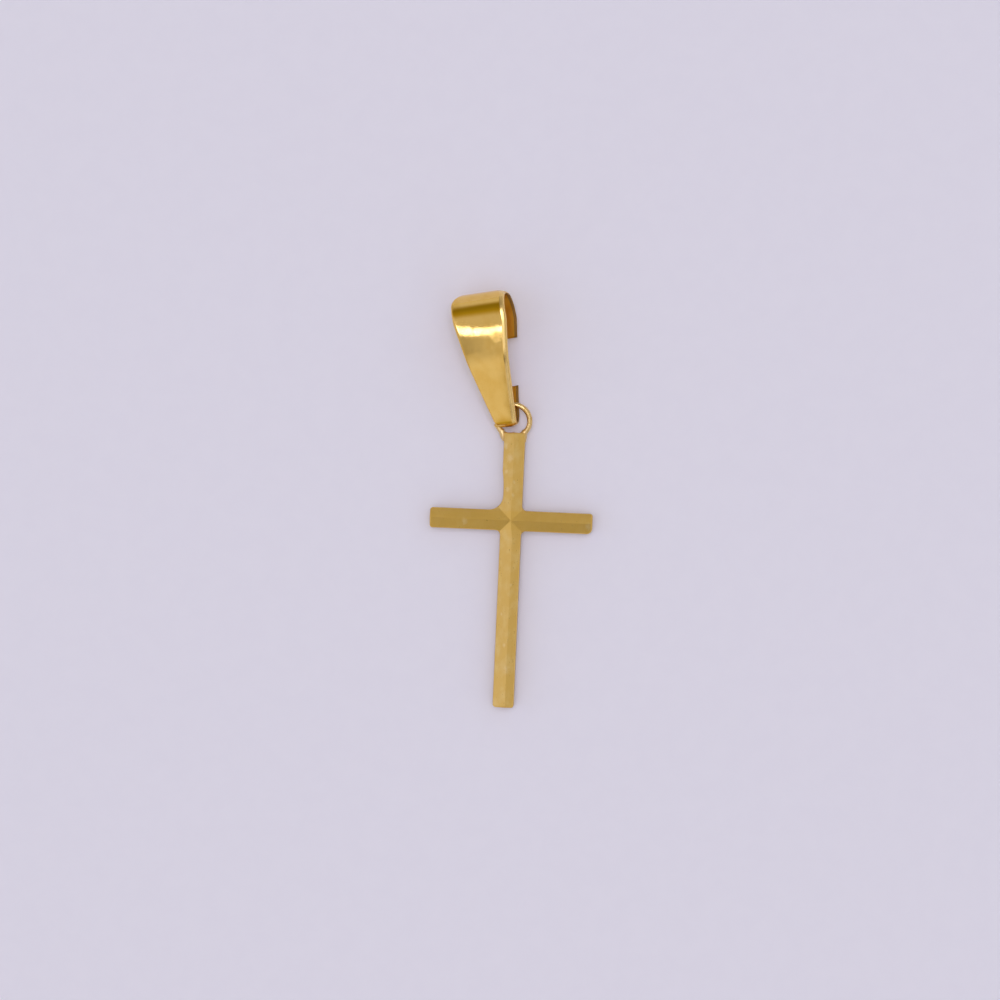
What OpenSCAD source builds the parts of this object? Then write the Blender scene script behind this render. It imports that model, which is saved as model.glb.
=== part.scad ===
// Small gold cross pendant with a soldered ring and a loose folded bail.
// It lies on its back: X runs along the arms, Y towards the bail, Z up.
// The origin is under the crossing, on the cross's flat back.

/* [Cross] */
// Span of the two arms, end to end
arm_span = 12; // [9:0.5:20]
// Length of the upper limb, from the crossing's centre to its end
upper_len = 6.5; // [4.5:0.1:10]
// Length of the lower limb, from the crossing's centre to its foot
lower_len = 13.8; // [9:0.1:22]
// Width of the upright
upright_w = 1.55; // [1.3:0.05:2]
// Width of the arms
arm_w = 1.5; // [1:0.05:2]
// Thickness of the cross at the edges of its limbs
edge_t = 1; // [0.8:0.05:1.6]
// Height of the ridge above those edges
ridge_rise = 0.28; // [0.1:0.02:0.5]
// Radius left in three of the crossing's corners
corner_fillet = 0.35; // [0.15:0.05:0.8]
// Radius filed into the fourth corner, at the upper left
filed_fillet = 1.05; // [0.4:0.05:1.6]
// Depth of the hollow filed into the upper limb beside that corner
filed_depth = 0.12; // [0.04:0.02:0.25]
// Length of that hollow along the limb
filed_len = 2.9; // [1.5:0.1:4]
// Radius of the limbs' outer corners
end_round = 0.2; // [0.05:0.05:0.35]
// Radius of the most worn corner, at the lower right
worn_round = 0.4; // [0.1:0.05:0.6]

/* [Ring] */
// Diameter of the hole in the soldered ring
ring_hole = 2; // [1.8:0.05:2.6]
// Diameter of the ring's wire
wire_d = 0.4; // [0.3:0.02:0.5]
// How far the upper limb's end reaches into the hole
ring_sink = 0.12; // [0.05:0.01:0.2]
// Sideways offset of the ring from the limb's centre line
ring_shift = -0.14; // [-0.2:0.02:0.2]
// Angle at which the ring rises from the plane of the cross
ring_rise = 10; // [5:1:14]
// Diameter of the solder beads where the wire meets the limb
solder_d = 0.6; // [0.5:0.02:0.8]

/* [Bail] */
// Length of the bail, from its lower fold to its top
bail_len = 9.87; // [8.5:0.01:13]
// Greatest width of the bail, at its shoulders
bail_w = 4; // [3:0.05:5]
// Distance of the shoulders from the lower fold
shoulder_at = 7.85; // [6.5:0.05:8]
// Radius of the shoulders in plan
shoulder_r = 1.66; // [1:0.02:1.9]
// Radius of the bail's two top corners in plan
top_corner_r = 0.4; // [0.1:0.05:0.8]
// How much further the fold reaches on its left, where it covers the ring's wire
fold_more = 0.22; // [0:0.02:0.3]
// Radius of the fold's left corner in plan
fold_left_r = 0.3; // [0.2:0.05:0.6]
// Radius of the fold's right corner in plan
fold_right_r = 0.3; // [0.2:0.05:0.5]
// Thickness of the strip
strip_t = 0.32; // [0.25:0.01:0.45]
// Radius of the top bend, measured outside
top_bend_r = 1.82; // [1.5:0.02:2.3]
// Radius of the soft bend in the front leaf
belly_r = 1.7; // [1.2:0.02:1.7]
// Distance of that bend from the lower fold
belly_at = 5.5; // [5:0.05:7]
// How far that bend stays below the front of the top bend
belly_drop = 0.18; // [0:0.01:0.24]
// Where the short lower return of the back ends
low_return = 2.84; // [2.4:0.02:3.4]
// Where the upper return of the back ends
high_return = 6.3; // [5:0.1:7]

/* [Lie of the bail] */
// Angle by which the bail leans left of the upright
bail_yaw = 13.4; // [0:0.1:20]
// Angle by which the bail is rolled towards its left edge
bail_roll = 11.5; // [4:0.1:12]
// Angle at which the bail's top end rises
bail_pitch = 2; // [0:0.1:4]
// Sideways offset of the fold from the ring's centre
fold_shift = -0.16; // [-0.2:0.01:0]

/* [Clearances] */
// Free space between the limb's end and the bail's fold
fold_gap = 0.52; // [0.4:0.01:0.6]
// Free space beside the fold within the ring, before its left side is widened
fold_side_gap = 0.3; // [0.24:0.01:0.4]
// Free space round the wire within the fold
wire_gap = 0.21; // [0.18:0.01:0.3]
// Free space between the wire and the strip below it
rest_gap = 0.09; // [0.07:0.01:0.2]
// Free space round the wire where it has worn into the fold's left edge
worn_gap = 0.06; // [0.05:0.01:0.1]

/* [Hidden] */
$fn = 72;

// Cutting and cut shapes run this far past what they meet.
over = 1;
ridge_t = edge_t + ridge_rise;
// The roofs reach past the widest fillet.
roof_reach = 1.2 * filed_fillet;
// The filed hollow is an arc over its length, which starts at the arm.
filed_at = arm_w / 2 + filed_len / 2;
filed_r = (pow(filed_depth, 2) + pow(filed_len / 2, 2)) / (2 * filed_depth);

// The bail's own axes: X across the strip, Y from the fold to the top, Z from the back to the front
fold_w = ring_hole - 2 * fold_side_gap;
fold_r = wire_d / 2 + wire_gap + strip_t;

// Bends of the strip seen from the side: distance from the fold, height, radius
side_bends = [
    [fold_r, fold_r, fold_r],
    [belly_at, max(belly_r, 2 * top_bend_r - belly_drop - belly_r), belly_r],
    [bail_len - top_bend_r, top_bend_r, top_bend_r],
];

// Corners of the strip in plan: place across, distance from the fold, radius
plan_corners = [
    [fold_left_r - fold_more - fold_w / 2, fold_left_r, fold_left_r],
    [fold_w / 2 - fold_right_r, fold_right_r, fold_right_r],
    [shoulder_r - bail_w / 2, shoulder_at, shoulder_r],
    [bail_w / 2 - shoulder_r, shoulder_at, shoulder_r],
    [top_corner_r - bail_w / 2, bail_len - top_corner_r, top_corner_r],
    [bail_w / 2 - top_corner_r, bail_len - top_corner_r, top_corner_r],
];

// How far the strip has widened at a distance from the fold, from 0 to 1
function spread(along) =
    min(1, max(0, (along - fold_right_r) / (shoulder_at - fold_right_r)));
// Half the strip's width at a distance from the fold
function half_width(along) = (fold_w + (bail_w - fold_w) * spread(along)) / 2;
// Height of a point of the bail above its fold, once it is rolled and pitched
function rise(across, along, out) =
    along * sin(bail_pitch)
    + (across * sin(bail_roll) + out * cos(bail_roll)) * cos(bail_pitch);

// The bail is lifted until the lowest corner of its back meets the table.
bail_tilt = acos(cos(bail_roll) * cos(bail_pitch));
bail_lift = -min([
    for (corner = plan_corners)
        rise(corner[0], corner[1], 0) - corner[2] * sin(bail_tilt)
]);

// The ring's wire passes over the strip's lower return with a gap.
ring_r = (ring_hole + wire_d) / 2;
ring_out = ring_hole / 2 - ring_sink;
fold_y = upper_len + fold_gap;
under_ring = upper_len + ring_out + ring_r - fold_y;
strip_top = bail_lift + rise(half_width(under_ring), under_ring, strip_t);
ring_foot_z = strip_top + rest_gap + wire_d / 2 - (ring_out + ring_r) * tan(ring_rise);
// Half the distance between the places where the wire meets the limb's end
wire_foot = sqrt(pow(ring_r, 2) - pow(ring_out, 2));

// Places its children in one quadrant of the plan
module quadrant(right, up) {
    mirror([right ? 0 : 1, 0])
        mirror([0, up ? 0 : 1])
            children();
}

// What a rounded outer corner loses
module corner_cut(r) {
    translate([-r, -r])
        difference() {
            square(r + over);
            circle(r);
        }
}

// What an inner corner gains
module inner_fillet(r) {
    difference() {
        translate([-r, -r] / 2)
            square(r * 1.5);
        translate([r, r])
            circle(r);
    }
}

module upright_plan() {
    difference() {
        translate([-upright_w / 2, -lower_len])
            square([upright_w, lower_len + upper_len]);
        translate([filed_depth - filed_r - upright_w / 2, filed_at])
            circle(filed_r);
        for (right = [true, false])
            quadrant(right, false)
                translate([upright_w / 2, lower_len])
                    corner_cut(end_round);
    }
}

module arms_plan() {
    difference() {
        square([arm_span, arm_w], center = true);
        for (right = [true, false], up = [true, false])
            quadrant(right, up)
                translate([arm_span / 2, arm_w / 2])
                    corner_cut(right && !up ? worn_round : end_round);
    }
}

module cross_plan() {
    upright_plan();
    arms_plan();
    for (right = [true, false], up = [true, false])
        if (right || !up)
            quadrant(right, up)
                translate([upright_w / 2, arm_w / 2])
                    inner_fillet(corner_fillet);
    quadrant(false, true)
        translate([upright_w / 2 - filed_depth, arm_w / 2])
            inner_fillet(filed_fillet);
}

// A roof of two slopes that meet in a ridge along Y
module roof(width, front, back) {
    reach = width / 2 + roof_reach;
    eaves = ridge_t - ridge_rise * reach / (width / 2);
    translate([0, front, 0])
        rotate([90, 0, 0])
            linear_extrude(front - back)
                polygon([[-reach, 0], [reach, 0], [reach, eaves], [0, ridge_t], [-reach, eaves]]);
}

module ridged_cross() {
    intersection() {
        linear_extrude(ridge_t + over)
            cross_plan();
        union() {
            roof(upright_w, upper_len + over, -lower_len - over);
            rotate(90)
                roof(arm_w, arm_span / 2 + over, -arm_span / 2 - over);
        }
    }
}

// The ring's round wire, seen from the middle of the limb's end
module wire(thickness) {
    rotate([ring_rise, 0, 0])
        translate([0, ring_out, 0])
            rotate_extrude()
                translate([ring_r, 0])
                    circle(d = thickness, $fn = 32);
}

// The ring stands out from the upper limb's end, between two beads of solder.
module soldered_ring() {
    translate([ring_shift, upper_len, ring_foot_z]) {
        wire(wire_d);
        for (side = [-1, 1])
            translate([side * wire_foot, 0, 0])
                sphere(d = solder_d, $fn = 32);
    }
}

module cross() {
    color("goldenrod") {
        ridged_cross();
        soldered_ring();
    }
}

module side_form(inset) {
    hull()
        for (bend = side_bends)
            translate([bend[0], bend[1]])
                circle(bend[2] - inset, $fn = 96);
}

// The strip seen from the side, open at the back between its two returns
module strip_side() {
    difference() {
        side_form(0);
        side_form(strip_t);
        translate([low_return, -over])
            square([high_return - low_return, over + 2 * strip_t]);
    }
}

module strip_plan() {
    hull()
        for (corner = plan_corners)
            translate([corner[0], corner[1]])
                circle(corner[2]);
}

module bent_strip() {
    intersection() {
        translate([-bail_w / 2 - over, 0, 0])
            rotate([90, 0, 90])
                linear_extrude(bail_w + 2 * over)
                    strip_side();
        translate([0, 0, -over])
            linear_extrude(2 * (top_bend_r + over))
                strip_plan();
    }
}

// The bail lies turned and rolled. The ring's wire has worn a groove in its fold's left edge.
module bail() {
    color("gold")
        difference() {
            translate([ring_shift + fold_shift, fold_y, bail_lift])
                rotate([bail_pitch, 0, bail_yaw])
                    rotate([0, -bail_roll, 0])
                        bent_strip();
            translate([ring_shift, upper_len, ring_foot_z])
                wire(wire_d + 2 * worn_gap);
        }
}

cross();
bail();
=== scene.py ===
import math
import bpy
import bmesh
from mathutils import Matrix, Vector, noise


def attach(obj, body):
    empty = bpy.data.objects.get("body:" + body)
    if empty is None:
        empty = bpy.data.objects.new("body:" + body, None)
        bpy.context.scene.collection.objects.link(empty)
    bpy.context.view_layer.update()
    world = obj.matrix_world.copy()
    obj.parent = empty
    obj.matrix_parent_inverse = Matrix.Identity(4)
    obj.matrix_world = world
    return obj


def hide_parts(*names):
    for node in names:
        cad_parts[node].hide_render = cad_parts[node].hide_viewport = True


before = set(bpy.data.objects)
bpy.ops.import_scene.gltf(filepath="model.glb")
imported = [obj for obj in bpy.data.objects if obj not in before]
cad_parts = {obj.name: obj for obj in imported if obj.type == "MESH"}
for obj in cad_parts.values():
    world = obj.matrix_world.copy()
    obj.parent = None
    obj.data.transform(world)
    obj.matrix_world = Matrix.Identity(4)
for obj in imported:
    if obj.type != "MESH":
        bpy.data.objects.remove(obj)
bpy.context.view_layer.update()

print("frame loaded")
metresPerMm = 0.001
scene = bpy.context.scene


# a socket that can be used in expressions, each of which adds its Math node
class Wire:
    def __init__(self, tree, socket):
        self.tree = tree
        self.socket = socket

    def maths(self, operation, first, second):
        return self.tree.node("ShaderNodeMath", {"operation": operation}, {0: first, 1: second})

    def __add__(self, other):
        return self.maths("ADD", self, other)

    def __radd__(self, other):
        return self.maths("ADD", other, self)

    def __sub__(self, other):
        return self.maths("SUBTRACT", self, other)

    def __rsub__(self, other):
        return self.maths("SUBTRACT", other, self)

    def __mul__(self, other):
        return self.maths("MULTIPLY", self, other)

    def __rmul__(self, other):
        return self.maths("MULTIPLY", other, self)

    def __abs__(self):
        return self.maths("ABSOLUTE", self, 0.0)


class NodeTree:
    def __init__(self, tree):
        self.tree = tree
        tree.nodes.clear()

    def node(self, kind, settings=None, inputs=None, output=0):
        made = self.tree.nodes.new(kind)
        for name, value in (settings or {}).items():
            setattr(made, name, value)
        for name, value in (inputs or {}).items():
            if isinstance(value, Wire):
                self.tree.links.new(value.socket, made.inputs[name])
            else:
                made.inputs[name].default_value = value
        return Wire(self, made.outputs[output]) if made.outputs else None

    def step(self, value, low, high):  # 0 at low, 1 at high, soft between
        return self.node("ShaderNodeMapRange", {"interpolation_type": "SMOOTHSTEP"},
                         {"Value": value, "From Min": low, "From Max": high})

    def tint(self, amount, first, second):
        return self.node("ShaderNodeMix", {"data_type": "RGBA"},
                         {0: amount, 6: first, 7: second}, 2)

    def along(self, vector, direction):
        return self.node("ShaderNodeVectorMath", {"operation": "DOT_PRODUCT"},
                         {0: vector, 1: direction}, 1)

    def stretched(self, vector, scales, turn=0.0):
        turned = (0, 0, math.radians(turn))
        return self.node("ShaderNodeMapping", None,
                         {"Vector": vector, "Scale": scales, "Rotation": turned})

    def cloud(self, vector, detail=2.0, rough=0.5):
        return self.node("ShaderNodeTexNoise", None,
                         {"Vector": vector, "Scale": 1.0, "Detail": detail, "Roughness": rough})

    def painted(self, name):  # a value that the mesh carries
        return self.node("ShaderNodeAttribute", {"attribute_name": name}, output=2)


# how the photograph looks at the pendant
shot = {
    "crossLean": 2.5,  # degrees clockwise
    "sideways": 3.0,  # degrees that the camera stands to the right
    "distance": 184.0,  # mm
    "frameWidth": 73.7,  # mm covered at the cross
    "sensor": 36.0,
    "aimHeight": 1.15,  # mm, the ridges' height
    "crossingRight": 0.80,  # mm, the crossing's place from the picture's middle
    "crossingDown": 1.52,
}
lean = math.radians(shot["crossLean"])
pictureRight = Vector((math.cos(lean), math.sin(lean), 0))
pictureUp = Vector((-math.sin(lean), math.cos(lean), 0))


def placeCamera():
    side = math.radians(shot["sideways"])
    back = Vector((0, 0, 1)) * math.cos(side) + pictureRight * math.sin(side)
    right = pictureUp.cross(back).normalized()
    up = back.cross(right)
    aim = Vector((0, 0, shot["aimHeight"]))
    aim -= right * shot["crossingRight"]
    aim += up * shot["crossingDown"]
    place = (aim + back * shot["distance"]) * metresPerMm
    lens = bpy.data.cameras.new("camera")
    lens.sensor_width = shot["sensor"]
    lens.lens = shot["sensor"] * shot["distance"] / shot["frameWidth"]
    lens.clip_start = 0.01
    camera = bpy.data.objects.new("camera", lens)
    turned = Matrix((right, up, back)).transposed().to_4x4()
    camera.matrix_world = Matrix.Translation(place) @ turned
    scene.collection.objects.link(camera)
    scene.camera = camera


placeCamera()
scene.view_settings.view_transform = "Standard"
print("camera placed")


# finishes, whose patterns are measured in millimetres
def newFinish(name):
    material = bpy.data.materials.new(name)
    material.use_nodes = True
    tree = NodeTree(material.node_tree)
    place = tree.node("ShaderNodeMapping", None, {
        "Vector": tree.node("ShaderNodeTexCoord", output=3),
        "Scale": (1 / metresPerMm,) * 3,
    })
    return material, tree, place


def closeFinish(tree, look, inputs, height):
    bump = tree.node("ShaderNodeBump", None, {
        "Strength": look["bumpStrength"], "Distance": look["bumpHeight"], "Height": height,
    })
    shader = tree.node("ShaderNodeBsdfPrincipled", None, {**inputs, "Normal": bump})
    tree.node("ShaderNodeOutputMaterial", None, {"Surface": shader})


satinLook = {
    "gold": (0.86, 0.56, 0.145, 1),
    "paleGold": (0.90, 0.63, 0.21, 1),
    "brownGold": (0.68, 0.41, 0.06, 1),
    "brownShare": 0.2,
    "armShadeGold": (0.86, 0.55, 0.12, 1),
    "armShadeShare": 0.7,
    "armFrom": 0.62,  # mm from the arms' middle line, where their grain and their painted shade start to fade
    "armTo": 0.78,
    "scuffGold": (1.0, 0.80, 0.42, 1),
    "scuffShare": 0.4,
    "scuffStretch": 0.7,  # below 1, scuffs are longer along the upright
    "scuffRagged": 1.6,
    "scuffCore": 0.2,  # share of a scuff's size that is full
    "sideShadeGold": (0.52, 0.34, 0.11, 1),
    "sideShadeFrom": 0.7,  # mm above the floor, where the sides' painted shade starts to fade
    "sideShadeTo": 0.95,
    "roughness": 0.34,
    "fineRoughness": 0.22,
    "grainRoughness": 0.2,
    "bumpStrength": 0.35,
    "bumpHeight": 0.00004,  # metres
}
# scuffs on the cross's front: place and size in millimetres
satinScuffs = [
    (-0.62, 5.50, 0.22), (-0.28, 4.60, 0.30), (0.13, 2.85, 0.14), (0.07, 1.92, 0.16),
    (-0.35, 2.32, 0.20), (-0.50, 3.60, 0.18), (0.20, -4.75, 0.13), (-0.40, -6.90, 0.10),
    (-0.10, -9.20, 0.14), (0.15, -11.00, 0.30), (-3.40, -0.20, 0.25), (5.70, -0.20, 0.25),
]


def makeSatinGold():
    look = satinLook
    material, tree, place = newFinish("satinGold")
    mottle = tree.cloud(tree.stretched(place, (1.6, 0.9, 1.6)), 3, 0.6)
    fine = tree.cloud(tree.stretched(place, (7, 5, 7)), 3, 0.6)
    upwards = tree.along(place, (0, 1, 0))
    onArms = 1 - tree.step(abs(upwards), look["armFrom"], look["armTo"])
    alongUpright = tree.cloud(tree.stretched(place, (26, 1.6, 26)), 2)
    alongArms = tree.cloud(tree.stretched(place, (1.6, 26, 26)), 2)
    grain = alongUpright * (1 - onArms) + alongArms * onArms
    flat = tree.stretched(place, (1, look["scuffStretch"], 0))
    scuff = 0.0
    for x, y, size in satinScuffs:
        spot = (x, y * look["scuffStretch"], 0)
        away = tree.node("ShaderNodeVectorMath", {"operation": "DISTANCE"}, {0: flat, 1: spot}, 1)
        away = away + (fine - 0.5) * size * look["scuffRagged"]
        scuff = scuff + (1 - tree.step(away, size * look["scuffCore"], size))
    colour = tree.tint(tree.step(mottle, 0.42, 0.72), look["gold"], look["paleGold"])
    colour = tree.tint(tree.step(fine, 0.6, 0.8) * look["brownShare"], colour, look["brownGold"])
    # the arms get a deeper gold: painted shade for their darker look under the light
    colour = tree.tint(onArms * look["armShadeShare"], colour, look["armShadeGold"])
    colour = tree.tint(scuff * look["scuffShare"], colour, look["scuffGold"])
    # the sides are painted darker near the floor: painted shade, which also deepens the floor's
    # shadow beside the bars
    aboveSideShade = tree.step(tree.along(place, (0, 0, 1)), look["sideShadeFrom"], look["sideShadeTo"])
    colour = tree.tint(aboveSideShade, look["sideShadeGold"], colour)
    roughness = look["roughness"] + (fine - 0.5) * look["fineRoughness"]
    roughness = roughness + (grain - 0.5) * look["grainRoughness"]
    height = grain * 0.35 + fine * 0.35 + mottle * 0.9
    inputs = {"Base Color": colour, "Metallic": 1.0, "Roughness": roughness}
    closeFinish(tree, look, inputs, height)
    return material


polishedLook = {
    "gold": (0.92, 0.60, 0.16, 1),
    "deepGold": (0.88, 0.55, 0.125, 1),
    "tarnishShadeGold": (0.76, 0.45, 0.045, 1),
    "tarnishShadeShare": 0.85,
    "shadedRim": (0.34, 0.19, 0.05, 1),
    "rimFrom": 1.1,  # above 1, the mark also paints shade on the edges
    "rimTo": 1.7,
    "filedGold": (0.97, 0.67, 0.23, 1),
    "grainTurn": -13.4,  # degrees, so that the hairlines follow the bail
    "roughness": 0.05,
    "hazeRoughness": 0.05,
    "hairRoughness": 0.04,
    "dullRoughness": 0.21,
    "filedRoughness": 0.27,
    "insideRoughness": 0.36,
    "bumpStrength": 0.25,
    "bumpHeight": 0.00005,  # metres
}


def makePolishedGold():
    look = polishedLook
    material, tree, place = newFinish("polishedGold")
    tarnishAndShade, filed, dull = [tree.painted(name) for name in ("tarnishAndShade", "filed", "dull")]
    turned = tree.stretched(place, (1, 1, 1), look["grainTurn"])
    haze = tree.cloud(tree.stretched(turned, (0.9, 0.6, 0.9)), 3, 0.55)
    hair = tree.cloud(tree.stretched(turned, (30, 1.2, 30)), 2)
    crossHair = tree.cloud(tree.stretched(turned, (1.0, 24, 24)), 2)
    waves = tree.cloud(tree.stretched(turned, (1.4, 0.8, 1.4)), 1)
    colour = tree.tint(tree.step(haze, 0.4, 0.7), look["gold"], look["deepGold"])
    # inner faces get tarnish together with painted shade, darker and deeper in colour
    colour = tree.tint(tarnishAndShade * look["tarnishShadeShare"], colour, look["tarnishShadeGold"])
    # the edges marked above 1 get painted shade
    colour = tree.tint(tree.step(tarnishAndShade, look["rimFrom"], look["rimTo"]), colour, look["shadedRim"])
    # the filed right edge is painted paler: a painted highlight on a real filed, rougher rim
    colour = tree.tint(filed, colour, look["filedGold"])
    roughness = look["roughness"] + (haze - 0.5) * look["hazeRoughness"]
    roughness = roughness + (hair - 0.5) * look["hairRoughness"]
    for mark, level in ((dull, "dullRoughness"), (filed, "filedRoughness"),
                        (tarnishAndShade, "insideRoughness")):
        roughness = roughness + mark * (look[level] - roughness)
    height = hair * 0.05 + crossHair * 0.04 + waves * 0.5 + tarnishAndShade * haze * 0.8
    inputs = {"Base Color": colour, "Metallic": 1.0, "Roughness": roughness}
    closeFinish(tree, look, inputs, height)
    return material


wireLook = {
    "gold": (0.88, 0.62, 0.25, 1),
    "brownGold": (0.7, 0.42, 0.1, 1),
    "solder": (0.82, 0.60, 0.28, 1),
    "solderShare": 0.6,
    "solderFrom": 6.5,  # mm up the limb, where the solder's colour starts to fade
    "solderTo": 6.9,
    "roughness": 0.27,
    "scuffRoughness": 0.16,
    "solderRoughness": 0.12,
    "bumpStrength": 0.3,
    "bumpHeight": 0.00003,  # metres
}


def makeWireGold():
    look = wireLook
    material, tree, place = newFinish("wireGold")
    pits = tree.cloud(tree.stretched(place, (4, 4, 4)), 3, 0.6)
    scuffs = tree.cloud(tree.stretched(place, (18, 18, 18)), 2)
    upwards = tree.along(place, (0, 1, 0))
    low = 1 - tree.step(upwards, look["solderFrom"], look["solderTo"])
    colour = tree.tint(tree.step(pits, 0.45, 0.7), look["gold"], look["brownGold"])
    colour = tree.tint(low * look["solderShare"], colour, look["solder"])
    roughness = look["roughness"] + (scuffs - 0.5) * look["scuffRoughness"]
    roughness = roughness + low * look["solderRoughness"]
    inputs = {"Base Color": colour, "Metallic": 1.0, "Roughness": roughness}
    closeFinish(tree, look, inputs, pits + scuffs * 0.3)
    return material


satinGold = makeSatinGold()
polishedGold = makePolishedGold()
wireGold = makeWireGold()
print("finishes made")


# pieces, modelled in millimetres and then brought to metres
nearly = 0.0001  # for points that lie on a plane or an end
weldWithin = 0.0002


def finishPiece(form, name, material, node):
    bmesh.ops.remove_doubles(form, verts=form.verts, dist=weldWithin)
    bmesh.ops.recalc_face_normals(form, faces=form.faces)
    bmesh.ops.scale(form, vec=(metresPerMm,) * 3, verts=form.verts)
    for face in form.faces:
        face.smooth = True
    mesh = bpy.data.meshes.new(name)
    form.to_mesh(mesh)
    form.free()
    mesh.materials.append(material)
    piece = bpy.data.objects.new(name, mesh)
    scene.collection.objects.link(piece)
    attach(piece, "root")
    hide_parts(node)


crossSizes = {
    "span": 12.0,
    "upper": 6.5,
    "lower": 13.8,
    "uprightWidth": 1.55,
    "armWidth": 1.5,
    "edge": 1.0,
    "ridge": 0.28,  # its height above the edges
    "cornerFillet": 0.35,
    "filedFillet": 1.05,
    "filedDepth": 0.12,
    "filedLength": 2.9,
    "endRound": 0.2,
    "wornRound": 0.4,
    "roundSteps": 8,
    "rimWear": 0.09,
    "backWear": 0.06,
    "wearSteps": 3,
    "ridgeShift": 0.14,  # how far right of the middle the lower limb's ridge lies
    "shiftOver": 1.2,  # the length that it takes to get there
    "tiltOver": 0.8,
    "rowGap": 0.5,  # between the rows of points across each limb
    "armsClear": 1.2,  # no row is nearer to the crossing's middle
    "uprightClear": 1.0,
    "uneven": 0.02,
    "unevenScale": 0.9,
    "unevenAbove": 0.6,  # share of the edge's height
    "slopeNormal": 0.92,  # faces that point up at least so much are slopes
    "crispAngle": 0.15,  # radians
    "footIn": 0.00005,
}


def crossPlan():
    s = crossSizes
    halfW, halfA, halfSpan = s["uprightWidth"] / 2, s["armWidth"] / 2, s["span"] / 2
    hollowX = s["filedDepth"] - halfW
    hollowY = halfA + s["filedLength"] / 2
    hollowEnd = halfA + s["filedLength"]
    # the outline, clockwise from the upper limb's left corner
    corners = [
        ("end", -halfW, s["upper"]), ("end", halfW, s["upper"]),
        ("inner", halfW, halfA), ("end", halfSpan, halfA), ("worn", halfSpan, -halfA),
        ("inner", halfW, -halfA), ("foot", halfW, -s["lower"]), ("foot", -halfW, -s["lower"]),
        ("inner", -halfW, -halfA), ("end", -halfSpan, -halfA), ("end", -halfSpan, halfA),
        ("filed", hollowX, halfA), ("hollow", hollowX, hollowY), ("hollow", -halfW, hollowEnd),
    ]
    form = bmesh.new()
    verts = [form.verts.new((x, y, 0)) for kind, x, y in corners]
    form.faces.new(verts)
    hollow = form.edges.get([v for v, corner in zip(verts, corners) if corner[0] == "hollow"])
    radius = (s["filedDepth"] ** 2 + (s["filedLength"] / 2) ** 2) / (2 * s["filedDepth"])
    cut = bmesh.ops.subdivide_edges(form, edges=[hollow], cuts=s["roundSteps"])
    for part in cut["geom_inner"]:
        if isinstance(part, bmesh.types.BMVert):
            off = part.co.y - hollowY
            part.co.x = hollowX - radius + math.sqrt(radius ** 2 - off ** 2)
    # the upper limb's end stays sharp, as the solder covers it
    rounds = {"end": s["endRound"], "inner": s["cornerFillet"], "worn": s["wornRound"],
              "foot": s["endRound"], "filed": s["filedFillet"]}
    for kind, size in rounds.items():
        places = [Vector((x, y, 0)) for name, x, y in corners if name == kind and y < s["upper"]]
        chosen = [v for v in form.verts if any((v.co - place).length < 0.001 for place in places)]
        bmesh.ops.bevel(form, geom=chosen, offset=size, offset_type="OFFSET",
                        segments=s["roundSteps"], profile=0.5, affect="VERTICES", material=-1)
    bmesh.ops.recalc_face_normals(form, faces=form.faces)
    return form


def cutAcross(form, point, normal):
    bmesh.ops.bisect_plane(form, geom=form.verts[:] + form.edges[:] + form.faces[:],
                           plane_co=point, plane_no=normal, dist=nearly)


def cutRows(form, start, end, clear, direction):
    gap = crossSizes["rowGap"]
    for i in range(1, math.ceil((end - start) / gap)):
        place = start + gap * i
        if abs(place) > clear:
            cutAcross(form, Vector(direction) * place, direction)


def raiseRidges(form):
    s = crossSizes
    halfW, halfA, halfSpan = s["uprightWidth"] / 2, s["armWidth"] / 2, s["span"] / 2
    cutAcross(form, (0, 0, 0), (1, 0, 0))
    cutAcross(form, (0, 0, 0), (0, 1, 0))
    for sign in (-1, 1):
        cutAcross(form, (0, 0, 0), (halfA, sign * halfW, 0))
    cutRows(form, -halfSpan, halfSpan, s["armsClear"], (1, 0, 0))
    cutRows(form, -s["lower"], s["upper"], s["uprightClear"], (0, 1, 0))
    top = s["edge"] + s["ridge"]
    for v in form.verts:
        if v.co.z > s["edge"] / 2:
            v.co.z = top - s["ridge"] * min(abs(v.co.x) / halfW, abs(v.co.y) / halfA)
            # the lower limb's ridge lies right of its middle, and its slopes keep their steepness
            across = max(-1, min(1, v.co.x / halfW))
            share = min(1, max(0, (-v.co.y - halfA) / s["tiltOver"]))
            v.co.z += s["ridge"] * across * share * s["ridgeShift"] / halfW
            share = min(1, max(0, -v.co.y / s["shiftOver"]))
            v.co.x += s["ridgeShift"] * share * (1 - abs(across))


def wearCross(form):
    s = crossSizes

    def isRim(edge, high):
        if len(edge.link_faces) != 2:
            return False
        flat = [abs(face.normal.z) > 0.5 for face in edge.link_faces]
        height = (edge.verts[0].co.z + edge.verts[1].co.z) / 2
        return flat[0] != flat[1] and (height > s["edge"] / 2) == high

    form.normal_update()
    for high, wear in ((True, s["rimWear"]), (False, s["backWear"])):
        rim = [e for e in form.edges if isRim(e, high)]
        bmesh.ops.bevel(form, geom=rim, offset=wear, offset_type="OFFSET",
                        segments=s["wearSteps"], profile=0.5, affect="EDGES", material=-1)
        form.normal_update()

    # hand-filed unevenness, always inwards
    for v in form.verts:
        v.co.z = max(v.co.z, 0)
        if v.co.z > s["edge"] * s["unevenAbove"]:
            v.co.z -= s["uneven"] * (0.5 + 0.5 * noise.noise(v.co * s["unevenScale"]))


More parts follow.
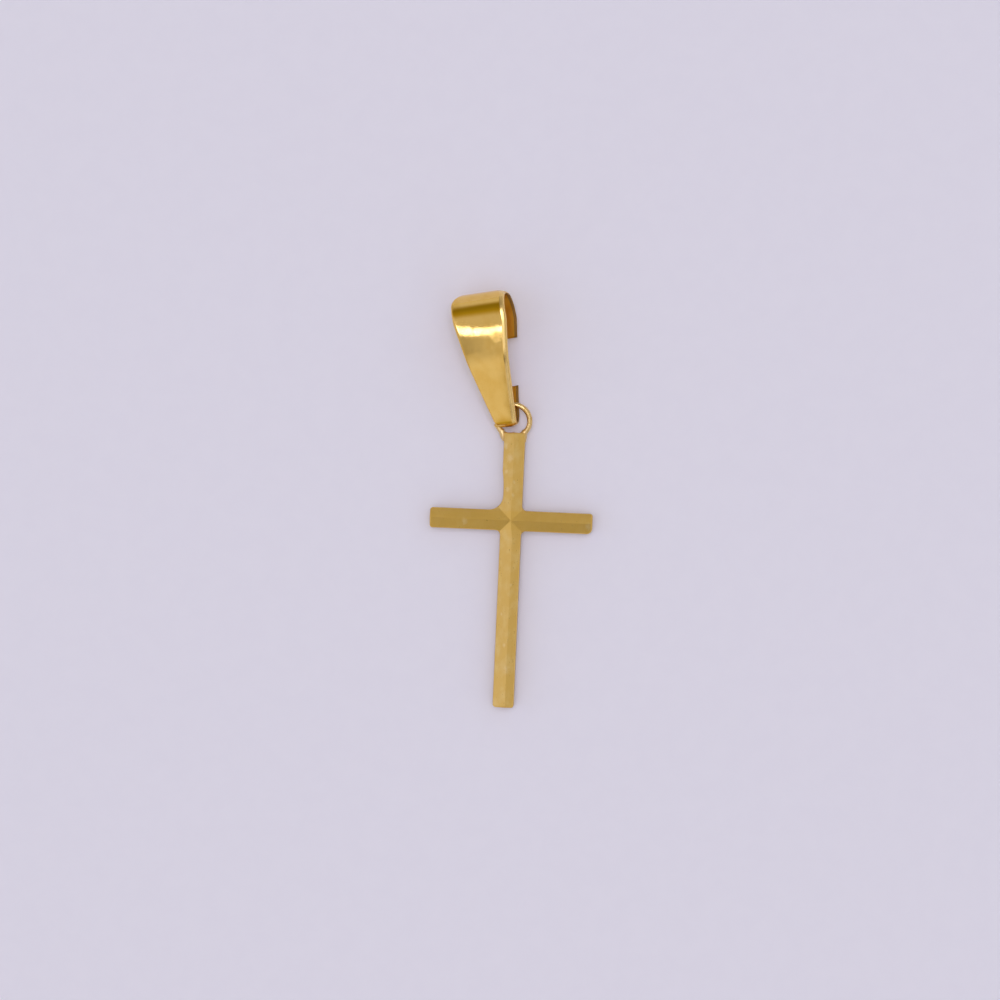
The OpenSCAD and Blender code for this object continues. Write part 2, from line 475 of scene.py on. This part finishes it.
def makeCross():
    s = crossSizes
    form = crossPlan()
    raised = bmesh.ops.extrude_face_region(form, geom=form.faces[:])
    lifted = [v for v in raised["geom"] if isinstance(v, bmesh.types.BMVert)]
    bmesh.ops.translate(form, vec=(0, 0, s["edge"]), verts=lifted)
    raiseRidges(form)
    wearCross(form)

    # crisp ridges and valleys
    bmesh.ops.remove_doubles(form, verts=form.verts, dist=weldWithin)
    bmesh.ops.recalc_face_normals(form, faces=form.faces)
    for edge in form.edges:
        onSlope = any(face.normal.z > s["slopeNormal"] for face in edge.link_faces)
        if len(edge.link_faces) == 2 and onSlope:
            edge.smooth = edge.calc_face_angle() < s["crispAngle"]
    for v in form.verts:
        v.co.y = max(v.co.y, s["footIn"] - s["lower"])
    finishPiece(form, "crossBars", satinGold, "cross")


makeCross()
print("cross made")


ringSizes = {
    "hole": 2.0,
    "wire": 0.4,
    "sink": 0.12,
    "shift": -0.14,
    "rise": 10.0,
    "footHeight": 0.6475,
    "stepsAround": 20,
    "stepsAlong": 72,
    "runBeads": 4,
    "voxel": 0.035,
    "smoothing": 6,
}
# the solder's run from the wire's feet down the limb: offsets across and along, height, radius
solderRuns = {
    -1: [(0.0, 0.08, 0.0, 0.205), (0.02, -0.10, 0.0, 0.215), (0.06, -0.26, -0.01, 0.2),
         (0.12, -0.42, -0.02, 0.175), (0.18, -0.56, -0.03, 0.14)],
    1: [(0.0, 0.08, 0.0, 0.205), (0.01, -0.10, 0.0, 0.215), (0.02, -0.28, -0.01, 0.2),
        (0.03, -0.46, -0.02, 0.17), (0.05, -0.66, -0.03, 0.12)],
}


def addRun(form, start, steps):
    for i, (across, along, up, radius) in enumerate(steps[:-1]):
        after = steps[i + 1]
        for bead in range(ringSizes["runBeads"]):  # near enough to melt into one
            share = bead / ringSizes["runBeads"]
            here = [a + (b - a) * share for a, b in zip((across, along, up, radius), after)]
            made = bmesh.ops.create_uvsphere(form, u_segments=24, v_segments=16, radius=here[3])
            bmesh.ops.translate(form, vec=start + Vector(here[:3]), verts=made["verts"])


def ringPlace():
    s = ringSizes
    place = Matrix.Translation((s["shift"], crossSizes["upper"], s["footHeight"]))
    place = place @ Matrix.Rotation(math.radians(s["rise"]), 4, "X")
    return place @ Matrix.Translation((0, s["hole"] / 2 - s["sink"], 0))


def ringCircle():  # radius, centre and axis of the wire's middle line
    place = ringPlace()
    radius = (ringSizes["hole"] + ringSizes["wire"]) / 2
    return radius, place.translation, place.to_3x3() @ Vector((0, 0, 1))


def makeRing():
    s = ringSizes
    radius = ringCircle()[0]
    foot = math.sqrt(radius ** 2 - (s["hole"] / 2 - s["sink"]) ** 2)
    form = bmesh.new()
    wire = bmesh.ops.create_circle(form, segments=s["stepsAround"], radius=s["wire"] / 2)
    upright = Matrix.Translation((radius, 0, 0)) @ Matrix.Rotation(math.pi / 2, 4, "X")
    bmesh.ops.transform(form, matrix=upright, verts=wire["verts"])
    bmesh.ops.spin(form, geom=form.verts[:] + form.edges[:], cent=(0, 0, 0), axis=(0, 0, 1),
                   dvec=(0, 0, 0), angle=2 * math.pi, steps=s["stepsAlong"], use_merge=True)
    bmesh.ops.transform(form, matrix=ringPlace(), verts=form.verts)
    bmesh.ops.remove_doubles(form, verts=form.verts, dist=0.001)
    bmesh.ops.recalc_face_normals(form, faces=form.faces)
    for side, steps in solderRuns.items():
        start = Vector((s["shift"] + side * foot, crossSizes["upper"], s["footHeight"]))
        addRun(form, start, steps)

    # one skin over wire and solder, by voxels, then smoothed
    rough = bpy.data.meshes.new("rough")
    form.to_mesh(rough)
    form.free()
    carrier = bpy.data.objects.new("rough", rough)
    scene.collection.objects.link(carrier)
    skin = carrier.modifiers.new("skin", "REMESH")
    skin.mode = "VOXEL"
    skin.voxel_size = s["voxel"]
    bpy.context.view_layer.update()
    seen = carrier.evaluated_get(bpy.context.evaluated_depsgraph_get())
    form = bmesh.new()
    form.from_mesh(seen.to_mesh())
    bpy.data.objects.remove(carrier)
    for i in range(s["smoothing"]):
        bmesh.ops.smooth_vert(form, verts=form.verts, factor=0.5,
                              use_axis_x=True, use_axis_y=True, use_axis_z=True)
    finishPiece(form, "solderedRing", wireGold, "cross")


makeRing()
print("ring made")


bailSizes = {
    "length": 9.87,
    "width": 4.0,
    "shoulderAt": 7.85,
    "shoulderRound": 1.66,
    "topCorner": 0.4,
    "wornCorner": 0.8,  # at the top left
    "foldWidth": 1.4,
    "foldMore": 0.22,  # how much further the fold reaches on its left
    "foldLeft": 0.3,
    "foldRight": 0.3,
    "strip": 0.32,
    "foldBend": 0.73,
    "topBend": 1.82,
    "bellyBend": 1.7,
    "bellyAt": 5.5,
    "bellyDrop": 0.18,
    "bellySoft": 4.6,  # the wider radius that the leaf's soft bend gets here
    "lowReturn": 2.84,
    "highReturn": 6.3,
    "edgeRound": 0.13,
    "edgeSteps": 5,
    "columns": 32,
    "longCrown": 0.03,
    "crossCrown": 0.05,
    "rimWidth": 0.32,
    "rimColumns": 3,
    "rimFall": 0.08,
    "softFold": 0.17,
    "softFrom": 0.8,
    "foldSkew": 0.11,  # slope of the fold, which turns about a place across
    "foldSkewAbout": -0.6,
    "skewFrom": 1.6,
    "topSkew": 0.06,
    "topSkewAbout": 2.2,
    "topSkewFrom": 4.5,
    "topSkewOver": 3.5,
    "leafNormal": 0.5,  # what points out to the front at least so much is the leaf
    "backShadeWidth": 0.16,  # width of the painted shade along the back's edge
    "returnShadeWidth": 0.3,
    "returnShadeFrom": 5.0,
    "wornGap": 0.065,
    "yaw": 13.4,
    "roll": 11.5,
    "pitch": 2.0,
    "foldX": -0.3,
    "foldY": 7.02,
    "lift": 0.1737,
}
# steps of each stretch of the strip, from the end of its low return to that of its high return
bailSteps = {
    "lowReturn": 12, "fold": 32, "slope": 20, "belly": 10, "level": 12, "top": 40, "highReturn": 9,
}
# dents in the front leaf: place across and along, size, depth
bailDents = [(-0.9, 5.0, 0.9, 0.012), (0.4, 3.6, 0.8, -0.008)]
# the place beside the window's reflection that is worn dull
dullSpot = {"across": 1.05, "along": 6.45, "size": 0.6, "strength": 1.8}
bailMarks = ("tarnishAndShade", "filed", "dull", "bulge", "margin")  # values that the mesh carries


def tangentNormal(first, second, side):
    # direction, in radians, of the outward normal of the line that touches two circles
    dx, dy = second[0] - first[0], second[1] - first[1]
    lean = math.atan2(dy, dx)
    return lean + side * math.acos((first[2] - second[2]) / math.hypot(dx, dy))


def touch(circle, angle):
    return circle[0] + circle[2] * math.cos(angle), circle[1] + circle[2] * math.sin(angle)


def edgeAt(corners, side, along):
    # how far the strip's plan reaches to one side at a distance from the fold
    best = None
    for i, a in enumerate(corners):
        if abs(along - a[1]) <= a[2]:
            reach = side * a[0] + math.sqrt(a[2] ** 2 - (along - a[1]) ** 2)
            best = reach if best is None else max(best, reach)
        for b in corners[i + 1:]:
            gap = math.hypot(b[0] - a[0], b[1] - a[1])
            if gap <= abs(a[2] - b[2]):
                continue
            for turn in (-1, 1):
                angle = tangentNormal(a, b, turn)
                if math.cos(angle) * side <= 0:
                    continue
                low, high = sorted((touch(a, angle), touch(b, angle)), key=lambda end: end[1])
                if low[1] <= along <= high[1] and high[1] > low[1]:
                    share = (along - low[1]) / (high[1] - low[1])
                    reach = side * (low[0] + share * (high[0] - low[0]))
                    best = reach if best is None else max(best, reach)
    return side * best


def bailCorners():  # in plan: place across, distance from the fold, radius
    s = bailSizes
    halfFold, halfTop = s["foldWidth"] / 2, s["width"] / 2
    return [
        (s["foldLeft"] - s["foldMore"] - halfFold, s["foldLeft"], s["foldLeft"]),
        (halfFold - s["foldRight"], s["foldRight"], s["foldRight"]),
        (s["shoulderRound"] - halfTop, s["shoulderAt"], s["shoulderRound"]),
        (halfTop - s["shoulderRound"], s["shoulderAt"], s["shoulderRound"]),
        (s["wornCorner"] - halfTop, s["length"] - s["wornCorner"], s["wornCorner"]),
        (halfTop - s["topCorner"], s["length"] - s["topCorner"], s["topCorner"]),
    ]


def bailBends():  # from the side: each bend's place and radius, and the normals between them
    s = bailSizes
    fold = (s["foldBend"], s["foldBend"], s["foldBend"])
    belly = (s["bellyAt"], 2 * s["topBend"] - s["bellyDrop"] - s["bellyBend"], s["bellyBend"])
    top = (s["length"] - s["topBend"], s["topBend"], s["topBend"])
    rise = tangentNormal(fold, belly, 1)
    level = tangentNormal(belly, top, 1)
    # a wider arc between the same two lines
    slide = (belly[2] - s["bellySoft"]) / math.cos((rise - level) / 2)
    belly = (belly[0] + slide * math.cos((rise + level) / 2),
             belly[1] + slide * math.sin((rise + level) / 2), s["bellySoft"])
    return fold, belly, top, rise, level


def edgesOf(parts):
    return [part for part in parts if isinstance(part, bmesh.types.BMEdge)]


def push(form, loop, start, end, steps):
    shift = (0, (end[0] - start[0]) / steps, (end[1] - start[1]) / steps)
    for i in range(steps):
        made = bmesh.ops.extrude_edge_only(form, edges=edgesOf(loop))["geom"]
        moved = [part for part in made if isinstance(part, bmesh.types.BMVert)]
        bmesh.ops.translate(form, vec=shift, verts=moved)
        kept = set(moved)
        loop = moved + [e for e in edgesOf(made) if e.verts[0] in kept and e.verts[1] in kept]
    return loop


def bend(form, loop, centre, turn, steps):
    made = bmesh.ops.spin(form, geom=loop, cent=(0, centre[0], centre[1]), axis=(1, 0, 0),
                          dvec=(0, 0, 0), angle=turn, steps=steps, use_merge=False)
    return [part for part in made["geom_last"] if not isinstance(part, bmesh.types.BMFace)]


def bendStrip():
    s = bailSizes
    fold, belly, top, rise, level = bailBends()
    # the strip's section with rounded edges, at the low return's end
    form = bmesh.new()
    bmesh.ops.create_grid(form, x_segments=1, y_segments=1, size=1.0)
    bmesh.ops.scale(form, vec=(1, s["strip"] / 2, 1), verts=form.verts)
    bmesh.ops.bevel(form, geom=form.verts[:], offset=s["edgeRound"], offset_type="OFFSET",
                    segments=s["edgeSteps"], profile=0.5, affect="VERTICES", material=-1)
    bmesh.ops.delete(form, geom=form.faces[:], context="FACES_ONLY")
    longEdges = [e for e in form.edges if e.calc_length() > 1]
    bmesh.ops.subdivide_edges(form, edges=longEdges, cuts=s["columns"] - 1)
    stand = Matrix.Translation((0, s["lowReturn"], s["strip"] / 2))
    stand = stand @ Matrix.Rotation(math.pi / 2, 4, "X")
    bmesh.ops.transform(form, matrix=stand, verts=form.verts)
    loop = form.verts[:] + form.edges[:]
    firstLoop = edgesOf(loop)

    loop = push(form, loop, (s["lowReturn"], 0), (fold[0], 0), bailSteps["lowReturn"])
    loop = bend(form, loop, fold, rise - 1.5 * math.pi, bailSteps["fold"])
    loop = push(form, loop, touch(fold, rise), touch(belly, rise), bailSteps["slope"])
    loop = bend(form, loop, belly, level - rise, bailSteps["belly"])
    loop = push(form, loop, touch(belly, level), touch(top, level), bailSteps["level"])
    loop = bend(form, loop, top, -math.pi / 2 - level, bailSteps["top"])
    loop = push(form, loop, (top[0], 0), (s["highReturn"], 0), bailSteps["highReturn"])
    for end in (firstLoop, edgesOf(loop)):
        bmesh.ops.holes_fill(form, edges=end, sides=0)
    bmesh.ops.recalc_face_normals(form, faces=form.faces)
    return form


# the plan's outline gives each place its width, and the rounded edges keep their size
def trimStrip(form):
    s = bailSizes
    corners = bailCorners()
    column = (2 - 2 * s["edgeRound"]) / s["columns"]
    for name in bailMarks:
        form.verts.layers.float.new(name)
    bulge, margin = form.verts.layers.float["bulge"], form.verts.layers.float["margin"]
    for v in form.verts:
        x, along = v.co.x, min(max(v.co.y, nearly), s["length"] - nearly)
        left, right = edgeAt(corners, -1, along), edgeAt(corners, 1, along)
        half, middle = (right - left) / 2, (right + left) / 2
        v[bulge] = x * x
        # the right edge's filed rim is a few whole columns wide
        fromEdge = 1 - abs(x)
        marks = [(0, 0), (s["edgeRound"], s["edgeRound"]), (1, half)]
        if x > 0:
            marks.insert(2, (s["edgeRound"] + s["rimColumns"] * column, s["rimWidth"]))
        for low, high in zip(marks, marks[1:]):
            if low[0] <= fromEdge <= high[0] + 0.00001:  # a hair more, for rounding
                share = (fromEdge - low[0]) / (high[0] - low[0])
                reach = low[1] + share * (high[1] - low[1])
        v.co.x = middle + math.copysign(half - reach, x)
        v[margin] = right - v.co.x


def wearStrip(form):
    s = bailSizes
    tarnishAndShade, filed, dull, bulge, margin = [form.verts.layers.float[name] for name in bailMarks]
    fold, belly, top, _, level = bailBends()
    leafFrom, leafTo = touch(belly, level)[0], touch(top, level)[0]
    middleY, halfY = (leafFrom + leafTo) / 2, (leafTo - leafFrom) / 2
    form.normal_update()
    for v in form.verts:
        normal = Vector((0, v.normal.y, v.normal.z))
        nearest = Vector((0, min(max(v.co.y, fold[0]), top[0]), 0))
        share = (nearest.y - fold[0]) / (top[0] - fold[0])
        nearest.z = fold[1] + share * (top[1] - fold[1])
        outwards = Vector((0, v.co.y, v.co.z)) - nearest
        # inward faces are marked for tarnish and painted shade
        v[tarnishAndShade] = 1.0 if normal.dot(outwards) < -0.02 else 0.0
        outwards.normalize()
        onLeaf = outwards.z > s["leafNormal"]
        # the front leaf is slightly domed both ways
        domed = s["longCrown"] * max(0, 1 - ((v.co.y - middleY) / halfY) ** 2) if onLeaf else 0
        v.co += outwards * (domed - s["crossCrown"] * max(0, outwards.z) * v[bulge])
        # the upper return gets painted shade, darkest at its edge
        onReturn = v[tarnishAndShade] == 1 and v.co.y > s["returnShadeFrom"] and outwards.z < 0.3
        if onReturn and v[margin] < s["returnShadeWidth"]:
            v[tarnishAndShade] = 2 - v[margin] / s["returnShadeWidth"]
        # the right edge is filed down and painted paler, a painted highlight, and the back's edges
        # get painted shade
        if v[tarnishAndShade] == 0 and v[margin] < s["rimWidth"] - 0.001:
            v.co -= outwards * s["rimFall"] * (1 - v[margin] / s["rimWidth"])
            v[filed] = 1.0
        if outwards.z < 0.2 and v[margin] < s["backShadeWidth"]:
            v[tarnishAndShade] = 2.0
        if v[tarnishAndShade] == 0 and onLeaf:
            away = math.hypot(v.co.x - dullSpot["across"], v.co.y - dullSpot["along"])
            away = away / dullSpot["size"]
            v[dull] = min(1, dullSpot["strength"] * max(0, 1 - away * away) ** 2)
            for x, y, size, depth in bailDents:
                away = ((v.co.x - x) ** 2 + (v.co.y - y) ** 2) / size ** 2
                v.co -= outwards * depth * max(0, 1 - away) ** 2
        # the front leaf bends down softly to the fold
        if v.co.y < s["softFrom"]:
            v.co.z -= s["softFold"] * (s["softFrom"] - v.co.y) ** 2 * max(0, outwards.z)
        # the fold and the top bend are a little askew
        share = max(0, 1 - v.co.y / s["skewFrom"])
        v.co.y -= s["foldSkew"] * (v.co.x - s["foldSkewAbout"]) * share
        share = min(1, max(0, (v.co.y - s["topSkewFrom"]) / s["topSkewOver"]))
        v.co.y -= s["topSkew"] * (v.co.x - s["topSkewAbout"]) * share * share * (3 - 2 * share)

    for edge in form.edges:  # the rim's inner border is crisp
        if all(abs(v[margin] - s["rimWidth"]) < 0.001 and v[tarnishAndShade] == 0 for v in edge.verts):
            edge.smooth = False


def layBail(form):
    s = bailSizes
    lie = Matrix.Translation((s["foldX"], s["foldY"], s["lift"]))
    lie = lie @ Matrix.Rotation(math.radians(s["yaw"]), 4, "Z")
    lie = lie @ Matrix.Rotation(math.radians(s["pitch"]), 4, "X")
    lie = lie @ Matrix.Rotation(math.radians(-s["roll"]), 4, "Y")
    bmesh.ops.transform(form, matrix=lie, verts=form.verts)
    # the ring's wire has worn a groove in the fold
    radius, centre, axis = ringCircle()
    clear = ringSizes["wire"] / 2 + s["wornGap"]
    for v in form.verts:
        flat = v.co - centre - axis * (v.co - centre).dot(axis)
        onWire = centre + flat.normalized() * radius
        if (v.co - onWire).length < clear:
            v.co = onWire + (v.co - onWire).normalized() * clear


def makeBail():
    form = bendStrip()
    trimStrip(form)
    wearStrip(form)
    layBail(form)
    finishPiece(form, "bentBail", polishedGold, "bail")


makeBail()
print("bail made")


# floor and light
floorSizes = {"width": 3.0, "drop": 0.00001}  # metres
floorLook = {
    "lilac": (0.906, 0.888, 0.949, 1),
    "paleLilac": (0.916, 0.898, 0.956, 1),
    "roughness": 0.8,
    "shine": 0.2,
    "bumpStrength": 0.08,
    "bumpHeight": 0.0001,  # metres
}


def makeFloorPaper():
    look = floorLook
    material, tree, place = newFinish("floorPaper")
    felt = tree.cloud(tree.stretched(place, (0.6, 0.6, 0.6)), 4, 0.6)
    colour = tree.tint(tree.step(felt, 0.3, 0.7), look["lilac"], look["paleLilac"])
    inputs = {"Base Color": colour, "Roughness": look["roughness"],
              "Specular IOR Level": look["shine"]}
    closeFinish(tree, look, inputs, felt)
    return material


def makeFloor():
    form = bmesh.new()
    bmesh.ops.create_grid(form, x_segments=8, y_segments=8, size=floorSizes["width"] / 2)
    bmesh.ops.translate(form, vec=(0, 0, -floorSizes["drop"]), verts=form.verts)
    mesh = bpy.data.meshes.new("floor")
    form.to_mesh(mesh)
    form.free()
    mesh.materials.append(makeFloorPaper())
    floor = bpy.data.objects.new("floor", mesh)
    scene.collection.objects.link(floor)


makeFloor()

# directions are given as parts to the picture's right and up, brightness beside the air's own
studio = {
    "air": (1.0, 0.975, 1.04, 1),
    "warm": (1.0, 0.80, 0.08, 1),
    "cool": (0.97, 1.0, 1.5, 1),
    "base": 0.61,
    "upDownDrop": 0.13,
    "upDownFrom": 0.25,
    "upDownTo": 0.65,
}
# right, up, inner reach, outer reach, change of brightness, share of warm colour, of cool colour
studioPatches = [
    (0.00, 0.12, 0.18, 0.34, 2.90, 0.0, 0.5),
    (0.00, 0.72, 0.12, 0.38, -0.17, 0.1, 0.0),
    (-0.34, -0.78, 0.12, 0.45, 0.28, 0.0, 0.1),
    (0.33, -0.75, 0.08, 0.22, 0.45, 0.0, 0.5),
    (0.10, -0.62, 0.10, 0.34, -0.54, 0.8, 0.0),
    (0.12, -0.32, 0.08, 0.28, 0.50, 0.0, 0.3),
    (-0.78, 0.00, 0.10, 0.35, 0.09, 0.0, 0.65),
    (-0.42, 0.94, 0.04, 0.22, 0.16, 0.0, 0.0),
    (0.62, 0.00, 0.15, 0.40, -0.14, 0.15, 0.0),
    (-0.50, -0.27, 0.03, 0.15, -0.16, 0.0, 0.0),
    (-0.22, -1.02, 0.08, 0.28, -0.24, 1.0, 0.0),
]
# the dark far side of the room: soft borders of its parts to the right, up and high, and its colour
darkRoom = {
    "right": -0.49,
    "inner": 0.15,
    "outer": 0.42,
    "upFrom": -0.12,
    "upTo": 0.38,
    "highFrom": 0.30,
    "highTo": 0.62,
    "drop": 0.235,
    "warmth": 1.0,
}
# the row of window panes, whose borders are soft from an inner to an outer reach
windowPanes = {
    "right": -0.43,
    "up": -0.185,
    "slant": -0.16,
    "innerWidth": 0.108,
    "outerWidth": 0.132,
    "innerHeight": 0.02,
    "outerHeight": 0.03,
    "glow": 4.3,
    "bars": 26.0,
    "barFrom": 0.10,
    "barTo": 0.22,
    "barGlow": 0.05,
}


def nearSpot(tree, right, up, spot, inner, outer):  # 1 at a direction, falling to 0 around it
    across, along = right - spot[0], up - spot[1]
    squares = across * across + along * along
    away = tree.node("ShaderNodeMath", {"operation": "SQRT"}, {0: squares})
    return 1 - tree.step(away, inner, outer)


def darkShare(tree, right, up, height):
    room = darkRoom
    dark = 1 - tree.step(abs(right - room["right"]), room["inner"], room["outer"])
    dark = dark * tree.step(up, room["upFrom"], room["upTo"])
    return dark * tree.step(height, room["highFrom"], room["highTo"])


def paneShare(tree, right, up):
    panes = windowPanes
    across = right - panes["right"]
    slanted = up - panes["up"] - across * panes["slant"]
    row = 1 - tree.step(abs(slanted), panes["innerHeight"], panes["outerHeight"])
    row = row * (1 - tree.step(abs(across), panes["innerWidth"], panes["outerWidth"]))
    part = tree.node("ShaderNodeMath", {"operation": "FRACT"}, {0: right * panes["bars"]})
    bars = tree.step(abs(part - 0.5), panes["barFrom"], panes["barTo"])
    return row * (panes["barGlow"] + bars * (1 - panes["barGlow"]))


def lightStudio():
    world = bpy.data.worlds.new("studio")
    world.use_nodes = True
    scene.world = world
    tree = NodeTree(world.node_tree)
    direction = tree.node("ShaderNodeTexCoord")
    right = tree.along(direction, tuple(pictureRight))
    up = tree.along(direction, tuple(pictureUp))
    height = tree.along(direction, (0, 0, 1))
    upDown = tree.step(abs(up), studio["upDownFrom"], studio["upDownTo"])
    strength = studio["base"] - upDown * studio["upDownDrop"]
    warmth, coolness = 0.0, 0.0
    for spotRight, spotUp, inner, outer, change, warm, cool in studioPatches:
        spot = nearSpot(tree, right, up, (spotRight, spotUp), inner, outer)
        strength = strength + spot * change
        warmth = warmth + spot * warm if warm else warmth
        coolness = coolness + spot * cool if cool else coolness
    # the dark far side of the room, seen in the bail's top bend
    dark = darkShare(tree, right, up, height)
    strength = strength - dark * darkRoom["drop"]
    warmth = warmth + dark * darkRoom["warmth"]
    # the row of window panes, seen below it
    row = paneShare(tree, right, up)
    strength = strength + row * windowPanes["glow"]
    colour = tree.tint(warmth, studio["air"], studio["warm"])
    colour = tree.tint(coolness + row, colour, studio["cool"])
    shade = tree.node("ShaderNodeBackground", None, {"Color": colour, "Strength": strength})
    tree.node("ShaderNodeOutputWorld", None, {"Surface": shade})


lightStudio()
print("studio lit")
